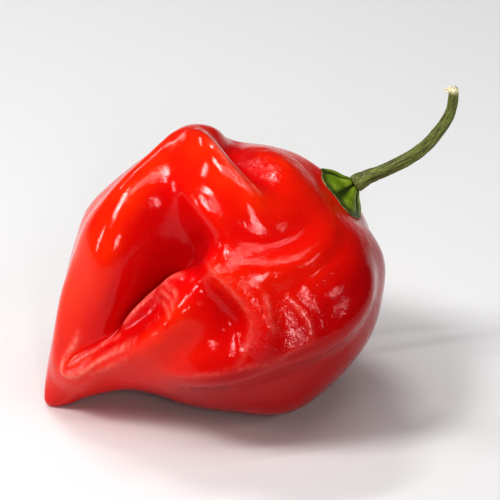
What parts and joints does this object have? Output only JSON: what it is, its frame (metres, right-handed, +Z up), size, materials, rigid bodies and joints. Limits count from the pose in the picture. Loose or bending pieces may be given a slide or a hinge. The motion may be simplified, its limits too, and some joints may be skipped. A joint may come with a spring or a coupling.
{
  "type": "habanero pepper",
  "caption": "Whole red habanero pepper lying on its side, with deeply folded glossy skin, a pointed tip, a green calyx and a curved green stem.",
  "frame": {"origin": "centre of the bounding box on the surface that the pepper lies on", "axes": "+Z up from the surface; +X to the stem end, the tip at -X; -Y is the side that is seen first"},
  "size_m": [0.0672, 0.0467, 0.0509],
  "materials": {
    "skin": "glossy waxy red skin",
    "calyx": "satin green calyx",
    "stem": "satin olive green stem"
  },
  "bodies": {
    "root": {"fruit": "skin", "calyx": "calyx", "stem": "stem"}
  },
  "joints": []
}
